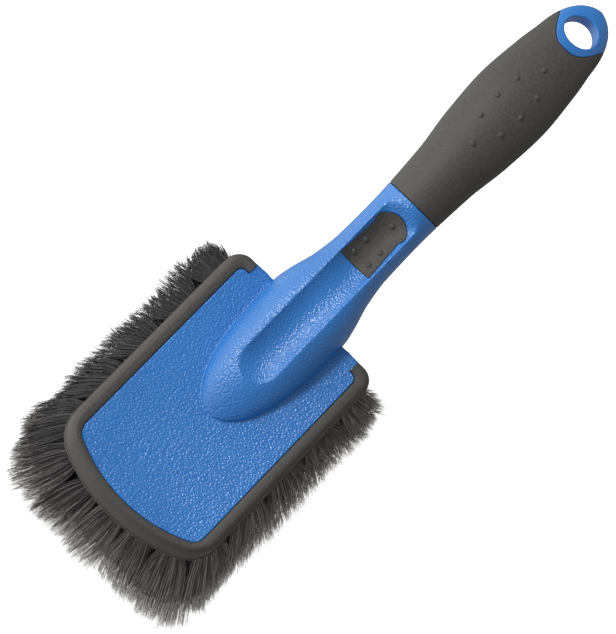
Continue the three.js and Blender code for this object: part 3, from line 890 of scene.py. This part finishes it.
def painted_light_bias(points):
    """Painted light and shade on the bristles: tones painted lighter on the far side and the -Y side, and
    darker on the +Y side.
    """
    along, across = ((points - TIPS_MIDDLE) / TIPS_HALF).T
    return FAR_PAINTED_LIGHT * np.maximum(-along, 0) - across


def nearest(points, centres):
    """For each plan point, the number of the nearest centre."""
    tree = KDTree(len(centres))
    for number, (x, y) in enumerate(centres):
        tree.insert((x, y, 0), number)
    tree.balance()
    return np.array([tree.find((x, y, 0))[1] for x, y in points])


def strands(paths, radii):
    """Vertices, quads and caps of thin closed three-sided tubes: paths is strands by points by 3."""
    count, length, _ = paths.shape
    along = np.gradient(paths, axis=1)
    along /= np.linalg.norm(along, axis=2, keepdims=True)
    side = np.cross(along, LEVEL_WAY)
    side /= np.linalg.norm(side, axis=2, keepdims=True)
    front = np.cross(along, side)
    rings = []
    for turn in (0, 2 * pi / 3, 4 * pi / 3):
        reach = cos(turn) * side + sin(turn) * front
        rings.append(paths + reach * radii[None, :, None])
    points = np.stack(rings, axis=2).reshape(-1, 3)
    row = np.arange(length - 1)[:, None] * 3
    corner = np.arange(3)[None, :]
    beside = (corner + 1) % 3
    quads = np.stack([row + corner, row + beside, row + 3 + beside, row + 3 + corner], axis=-1)
    base = (np.arange(count) * length * 3)[:, None, None]
    last = (length - 1) * 3
    caps = np.array([[2, 1, 0], [last, last + 1, last + 2]])[None] + base
    return points, (quads.reshape(1, -1, 4) + base).reshape(-1, 4), caps.reshape(-1, 3)


def even_roots(tips):
    """Where a straight bristle to each tip would leave the block if it were bristled all over."""
    x = TUFT_NEAR_X + (tips[:, 0] - TIP_NEAR_X) * TUFT_ROW_PITCH / TIP_ROW_PITCH
    return np.column_stack([x, tips[:, 1] / TIP_SPREAD, np.full(len(tips), float(BLOCK_FACE_Z))])


def fibre_paths(random, mouths, lean, tips, bends):
    """Wavy centre lines that start inside a hole, splay out below it and bend together at the tips."""
    t = np.linspace(0, 1, PATH_POINTS)[None, :, None]
    roots = even_roots(tips)[:, None]
    straight_lines = roots + (tips[:, None] - roots) * t
    paths = straight_lines + (mouths[:, None] - roots) * (1 - t) ** SPLAY_POWER
    paths[:, :, :2] += bends[:, None] * t**BEND_POWER
    phase = random.uniform(0, 2 * pi, (len(tips), 1, 2))
    waves = random.uniform(*WAVES, (len(tips), 1, 2))
    size = random.uniform(*WAVE_SIZES, (len(tips), 1, 2))
    paths[:, :, :2] += np.sin(phase + 2 * pi * waves * t) * size * t**WAVE_POWER
    held = mouths + lean * ROOT_DEPTH
    return np.concatenate([held[:, None], paths], axis=1)


def tuft_mesh(name, parts, materials):
    """One mesh of strands, whose parts are points, quads, caps, and material numbers of both."""
    points, faces, numbers = [], [], []
    base = 0
    for part_points, quads, caps, quad_numbers, cap_numbers in parts:
        points.append(part_points)
        faces += (quads + base).tolist() + (caps + base).tolist()
        numbers += [quad_numbers, cap_numbers]
        base += len(part_points)
    piece = new_object(name, np.concatenate(points), faces)
    for material in materials:
        piece.data.materials.append(material)
    piece.data.polygons.foreach_set("material_index", np.concatenate(numbers).astype(np.int32))
    piece.data.shade_smooth()
    return piece


def bristle_tufts(places, materials):
    """Fine flagged bristles whose tips fill the brush evenly; each leaves the hole it is nearest to."""
    random = np.random.default_rng(SEED)
    tips = crowd_to_edges(jittered_points(random, FIBRE_PITCH))
    tips = tips[outline_distance(tips) < TIP_OVERHANG - random.exponential(TIP_RAGGEDNESS, len(tips))]
    count = len(tips)
    owner = nearest(tips, [tip[:2] for _, _, tip in places])
    clumps = crowd_to_edges(jittered_points(random, CLUMP_PITCH))
    clump = nearest(tips, clumps)
    locks = jittered_points(random, LOCK_PITCH)
    lock = nearest(tips, locks)
    lock_bend = random.normal(0, LOCK_BEND, (len(locks), 2))
    bends = (clumps[clump] - tips) * random.uniform(*CLUMP_PULL, count)[:, None] + lock_bend[lock]
    shade = CLUMP_SHADE * random.uniform(0, 1, len(clumps))[clump] + OWN_SHADE * random.uniform(0, 1, count)
    # Random tones, shifted by painted light and shade: lighter on the far and -Y sides, darker on the +Y
    # side.
    tone = np.digitize(shade + PAINTED_LIGHT_SHIFT * painted_light_bias(tips), TONE_STEPS)
    lift = np.abs(random.normal(0, TIP_LIFT, count)) + LEAST_TIP_LIFT
    for number, (name, mouth, tip) in enumerate(places):
        mine = owner == number
        lean = (mouth - tip) / BLOCK_FACE_Z
        own_tips = np.column_stack([tips[mine], lift[mine]])
        spread = (tips[mine] - tip[:2]) / (TIP_ROW_PITCH, TUFT_COLUMN_PITCH * TIP_SPREAD)
        spread = MOUTH_CROWDING * spread + random.normal(0, MOUTH_JITTER, spread.shape)
        spread /= np.maximum(1, np.linalg.norm(spread, axis=1))[:, None]
        mouths = mouth + np.column_stack([spread * TUFT_RADIUS * MOUTH_FILLED, np.zeros(len(spread))])
        paths = fibre_paths(random, mouths, lean, own_tips, bends[mine])
        tuft = tuft_mesh(f"bristles_{name}", bristle_parts(random, paths, tone[mine]), materials)
        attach(tuft, "root")
        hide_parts(f"tuft_{name}")


def zone_numbers(zone, tone):
    """Material numbers of the sides and the caps of strands, from the zones of their segments."""
    numbers = zone * TONES + tone[:, None]
    return np.repeat(numbers, 3, axis=1).reshape(-1), numbers[:, [0, -1]].reshape(-1)


def bristle_parts(random, paths, tone):
    """The shafts and the split ends of bristles along paths, darker at the root than at the tips: painted
    shade at the roots and painted light at the tips.
    """
    count, length, _ = paths.shape
    split = round(FLAG_START * (length - 1))
    picks = np.round(np.linspace(0, split, SHAFT_POINTS)).astype(int)
    radii = np.linspace(*SHAFT_RADII, SHAFT_POINTS)
    root_end = random.uniform(*ROOT_ENDS, (count, 1))
    # Root segments take the darker root tones: painted shade under the head.
    zone = (np.arange(SHAFT_POINTS - 1) >= root_end).astype(int)
    parts = [(*strands(paths[:, picks], radii), *zone_numbers(zone, tone))]
    picks = np.round(np.linspace(split, length - 1, FLAG_POINTS)).astype(int)
    radii = np.linspace(*FLAG_RADII, FLAG_POINTS)
    along = np.linspace(0, 1, FLAG_POINTS)[None, :, None]
    for _ in range(FLAGS):
        stray = random.normal(0, FLAG_STRAY, (count, 1, 3)) * (1, 1, 0)
        stray[:, :, 2] = random.uniform(0, FLAG_LIFT, (count, 1))
        flag = paths[:, picks] + stray * along**FLAG_POWER
        shaft_end = random.uniform(*SHAFT_ENDS, (count, 1))
        # Flag ends past the shaft take the lighter tip tones: painted light.
        zone = 1 + (np.arange(FLAG_POINTS - 1) >= shaft_end).astype(int)
        parts.append((*strands(flag, radii), *zone_numbers(zone, tone)))
    return parts


def wire_anchors(places, material):
    """The flat wire staple at the bottom of each hole that the bristles are folded round."""
    corners = np.array([(-1, -1), (1, -1), (1, 1), (-1, 1)]) * ANCHOR_HALF_SIZE
    points = []
    for _, mouth, tip in places:
        x, y, z = mouth + (mouth - tip) / BLOCK_FACE_Z * (TUFT_TOP_Z - BLOCK_FACE_Z - ANCHOR_HEIGHT)
        for up in (0, ANCHOR_HEIGHT - GAP):
            points += [(x + along, y + across, z + up) for along, across in corners]
    anchors = prisms("wire_anchors", points, len(corners))
    anchors.data.materials.append(material)
    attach(anchors, "root")


# ---------- materials ----------
def node_material(name, values):
    """A material with these shader values, its tree and its shader."""
    material = bpy.data.materials.new(name)
    material.use_nodes = True
    tree = material.node_tree
    shader = tree.nodes["Principled BSDF"]
    for key, value in values.items():
        shader.inputs[key].default_value = value
    return material, tree, shader


def node(tree, kind, inputs=None, **settings):
    """A node with its settings and input values or links."""
    made = tree.nodes.new(kind)
    for key, value in settings.items():
        setattr(made, key, value)
    for key, value in (inputs or {}).items():
        if isinstance(value, bpy.types.NodeSocket):
            tree.links.new(value, made.inputs[key])
        else:
            made.inputs[key].default_value = value
    return made


def ramp(tree, factor, stops):
    """A colour ramp between two (position, colour) stops."""
    made = node(tree, "ShaderNodeValToRGB", {"Fac": factor})
    for element, (position, colour) in zip(made.color_ramp.elements, stops):
        element.position = position
        element.color = colour
    return made.outputs["Color"]


def linear(red, green, blue):
    """An opaque linear colour from 0 to 255 screen values."""
    values = np.array([red, green, blue]) / 255
    return (*np.where(values <= 0.04045, values / 12.92, ((values + 0.055) / 1.055) ** 2.4), 1)


def object_place(tree):
    """Where a shaded point is on the brush, in metres."""
    return node(tree, "ShaderNodeTexCoord").outputs["Object"]


def noise(tree, place, scale, detail, roughness=0.5):
    """Soft noise from 0 to 1 at a scale in cells per metre."""
    inputs = {"Vector": place, "Scale": scale, "Detail": detail, "Roughness": roughness}
    return node(tree, "ShaderNodeTexNoise", inputs).outputs["Fac"]


def map_range(tree, value, start, end, **settings):
    """A value carried from the start range, clamped, to the end range."""
    inputs = {"Value": value, "From Min": start[0], "From Max": start[1], "To Min": end[0], "To Max": end[1]}
    return node(tree, "ShaderNodeMapRange", inputs, **settings).outputs["Result"]


def bump(tree, shader, height, depth, strength, **settings):
    """Bumps of a depth in metres on the shader."""
    inputs = {"Height": height, "Distance": depth, "Strength": strength}
    made = node(tree, "ShaderNodeBump", inputs, **settings)
    tree.links.new(made.outputs["Normal"], shader.inputs["Normal"])


PEBBLES_PER_METRE = 1080.0
PEBBLE_SMOOTHNESS = 0.3
PEBBLE_DEPTH = 0.00026
PEBBLE_NOISE = 0.2
GRAIN_FADE_LENGTH = 0.004
RING_GRAIN = 0.1


def blue_plastic():
    """Moulded polypropylene with a pebbled grain that fades out on the polished hanging ring."""
    values = {"Roughness": 0.36, "Specular IOR Level": 0.78}
    material, tree, shader = node_material("blue_plastic", values)
    place = object_place(tree)
    tint = noise(tree, place, scale=26.0, detail=3.0)
    colour = ramp(tree, tint, [(0.3, linear(34, 111, 187)), (0.7, linear(39, 119, 196))])
    tree.links.new(colour, shader.inputs["Base Color"])
    cells = {"Vector": place, "Scale": PEBBLES_PER_METRE, "Smoothness": PEBBLE_SMOOTHNESS}
    pebbles = node(tree, "ShaderNodeTexVoronoi", cells, feature="SMOOTH_F1").outputs["Distance"]
    fine = noise(tree, place, scale=1500.0, detail=2.0)
    layers = {0: fine, 1: PEBBLE_NOISE, 2: pebbles}
    height = node(tree, "ShaderNodeMath", layers, operation="MULTIPLY_ADD").outputs["Value"]
    x = node(tree, "ShaderNodeSeparateXYZ", {"Vector": place}).outputs["X"]
    ring_x = (NEAR_EDGE_X + EYE_X - RING_HALF_LENGTH) * MM
    grain = map_range(tree, x, (ring_x - GRAIN_FADE_LENGTH, ring_x), (1.0, RING_GRAIN))
    bump(tree, shader, height, PEBBLE_DEPTH, grain, invert=True)
    tree.links.new(map_range(tree, fine, (0.0, 1.0), (0.29, 0.37)), shader.inputs["Roughness"])
    return material


def grey_rubber():
    """Matte moulded rubber with a fine speckle."""
    material, tree, shader = node_material("grey_rubber", {"Roughness": 0.62})
    speckle = noise(tree, object_place(tree), scale=900.0, detail=3.0, roughness=0.6)
    colour = ramp(tree, speckle, [(0.32, linear(58, 57, 55)), (0.68, linear(75, 73, 70))])
    tree.links.new(colour, shader.inputs["Base Color"])
    tree.links.new(map_range(tree, speckle, (0.0, 1.0), (0.52, 0.78)), shader.inputs["Roughness"])
    bump(tree, shader, speckle, depth=0.00015, strength=0.25)
    return material


def bristle_materials():
    """Root, middle and tip of a bristle, each in tones from dark to light; the darker roots are painted
    shade under the head and the lighter tips painted light.
    """
    zones = {
        "root": [(38, 37, 39), (46, 45, 46), (60, 58, 59), (80, 77, 77), (104, 101, 100)],
        "shaft": [(52, 50, 51), (64, 62, 62), (90, 87, 86), (126, 122, 120), (162, 158, 155)],
        "tip": [(56, 54, 53), (82, 79, 78), (124, 120, 118), (172, 168, 164), (212, 208, 204)],
    }
    materials = []
    for zone, tones in zones.items():
        for tone, colour in enumerate(tones, 1):
            values = {"Base Color": linear(*colour), "Roughness": 0.55, "Specular IOR Level": 0.35}
            materials.append(node_material(f"bristle_{zone}_{tone}", values)[0])
    return materials


def anchor_wire():
    """Dull brass wire."""
    values = {"Base Color": linear(190, 160, 100), "Roughness": 0.35, "Metallic": 1.0}
    return node_material("anchor_wire", values)[0]


# ---------- stage ----------
FLOOR_SIZE = 6
FLOOR_DROP = 0.0002
FLOOR_WHITE = (0.93, 0.93, 0.93, 1)
LIGHT_WHITE = (1, 1, 1, 1)
FLOOR_GLOW = 0.75
# Where the floor's glow fades out towards the middle of the brush: a painted shadow under it.
PAINTED_FLOOR_SHADOW_EDGE = (0.66, 0.84)
BRIGHT_SIDE = (-0.4, 0.92, 0.0)
BRIGHTNESS = (0.33, 1.55)
BRIGHTNESS_EDGE = (0.05, 0.95)
KEY_TARGET = (-0.03, 0, 0.06)
KEY_DIRECTION = (0.08, 0.62, 0.85)
KEY_DISTANCE = 1.1
KEY_SIZE = 0.2
KEY_POWER = 5.8


def vector_math(tree, operation, first, second, output="Vector"):
    """One step of vector arithmetic."""
    return node(tree, "ShaderNodeVectorMath", {0: first, 1: second}, operation=operation).outputs[output]


def floor():
    """A plain white floor just under the bristle tips, which glows faintly to stay evenly white; under the
    brush the glow fades out, a painted shadow.
    """
    bpy.ops.mesh.primitive_plane_add(size=FLOOR_SIZE, location=(0, 0, -FLOOR_DROP))
    plane = bpy.context.object
    plane.name = "floor"
    plane.visible_diffuse = False
    plane.visible_glossy = False
    values = {
        "Base Color": FLOOR_WHITE,
        "Emission Color": LIGHT_WHITE,
        "Roughness": 0.9,
        "Specular IOR Level": 0.0,
    }
    material, tree, shader = node_material("floor", values)
    middle = (NEAR_EDGE_X + TIPS_MIDDLE[0]) * MM
    half = TIPS_HALF * MM
    shifted = vector_math(tree, "ADD", object_place(tree), (-middle, 0.0, 0.0))
    scaled = vector_math(tree, "MULTIPLY", shifted, (*(1 / half), 0.0))
    reach = vector_math(tree, "ABSOLUTE", scaled, (0.0, 0.0, 0.0))
    sides = node(tree, "ShaderNodeSeparateXYZ", {"Vector": reach}).outputs
    nearness = node(tree, "ShaderNodeMath", {0: sides["X"], 1: sides["Y"]}, operation="MAXIMUM")
    # No glow under the brush: a painted shadow there.
    glow_with_painted_shadow = map_range(tree, nearness.outputs["Value"], PAINTED_FLOOR_SHADOW_EDGE, (0.0, FLOOR_GLOW))
    tree.links.new(glow_with_painted_shadow, shader.inputs["Emission Strength"])
    plane.data.materials.append(material)


def key_light():
    """A square soft light that looks at the head from high on the +Y side."""
    away = Vector(KEY_DIRECTION).normalized()
    data = bpy.data.lights.new("key", "AREA")
    data.shape = "SQUARE"
    data.size = KEY_SIZE
    data.energy = KEY_POWER
    light = bpy.data.objects.new("key", data)
    light.location = Vector(KEY_TARGET) + away * KEY_DISTANCE
    light.visible_camera = False
    light.rotation_mode = "QUATERNION"
    light.rotation_quaternion = away.to_track_quat("Z", "Y")
    bpy.context.scene.collection.objects.link(light)


def studio_room():
    """A plain white room that is brighter on the +Y side."""
    world = bpy.data.worlds.new("studio")
    world.use_nodes = True
    tree = world.node_tree
    background = tree.nodes["Background"]
    background.inputs["Color"].default_value = LIGHT_WHITE
    direction = node(tree, "ShaderNodeTexCoord").outputs["Generated"]
    side = vector_math(tree, "DOT_PRODUCT", direction, BRIGHT_SIDE, "Value")
    brightness = map_range(tree, side, BRIGHTNESS_EDGE, BRIGHTNESS, interpolation_type="SMOOTHSTEP")
    tree.links.new(brightness, background.inputs["Strength"])
    bpy.context.scene.world = world


CAMERA_TILT = radians(22)
CAMERA_ROLL = radians(45.8)
CAMERA_DISTANCE = 1.5
CAMERA_LENS = 218
CAMERA_CLIP = (0.05, 20)
CAMERA_AIM = (-2.05, -1.05)


def camera():
    """Looks down from the far end of the head, rolled so that the handle rises to the right."""
    aim = Vector(placed((*CAMERA_AIM, PLATE_Z))[0])
    back = Vector((-sin(CAMERA_TILT), 0, cos(CAMERA_TILT)))
    along = Vector((cos(CAMERA_TILT), 0, sin(CAMERA_TILT)))
    across = Vector((0, 1, 0))
    right = along * cos(CAMERA_ROLL) - across * sin(CAMERA_ROLL)
    up = along * sin(CAMERA_ROLL) + across * cos(CAMERA_ROLL)
    data = bpy.data.cameras.new("camera")
    data.lens = CAMERA_LENS
    data.clip_start, data.clip_end = CAMERA_CLIP
    made = bpy.data.objects.new("camera", data)
    turned = Matrix((right, up, back)).transposed().to_4x4()
    made.matrix_world = Matrix.Translation(aim + back * CAMERA_DISTANCE) @ turned
    bpy.context.scene.collection.objects.link(made)
    bpy.context.scene.camera = made


# ---------- assembly ----------
def brush_body(places):
    """The blue moulding: head, boss, neck, core of the grip and hanging ring."""
    body = head_core()
    combine(body, handle_core(), "UNION")
    combine(body, boss_fillet(), "UNION")
    combine(body, hang_hole(), "DIFFERENCE")
    combine(body, pad_pocket(), "DIFFERENCE")
    combine(body, tuft_holes(places), "DIFFERENCE")
    return body


def wheel_brush():
    """Every visual piece of the brush."""
    places = tuft_places()
    rubber = grey_rubber()
    finish_piece(smooth(brush_body(places)), blue_plastic(), "handle_body")
    finish_piece(smooth(head_bumper()), rubber, "head_bumper")
    finish_piece(smooth(handle_grip()), rubber, "handle_grip")
    finish_piece(smooth(thumb_pad()), rubber, "thumb_pad")
    bristle_tufts(places, bristle_materials())
    wire_anchors(places, anchor_wire())


bpy.context.scene.view_settings.view_transform = "Standard"
camera()
floor()
studio_room()
key_light()
wheel_brush()
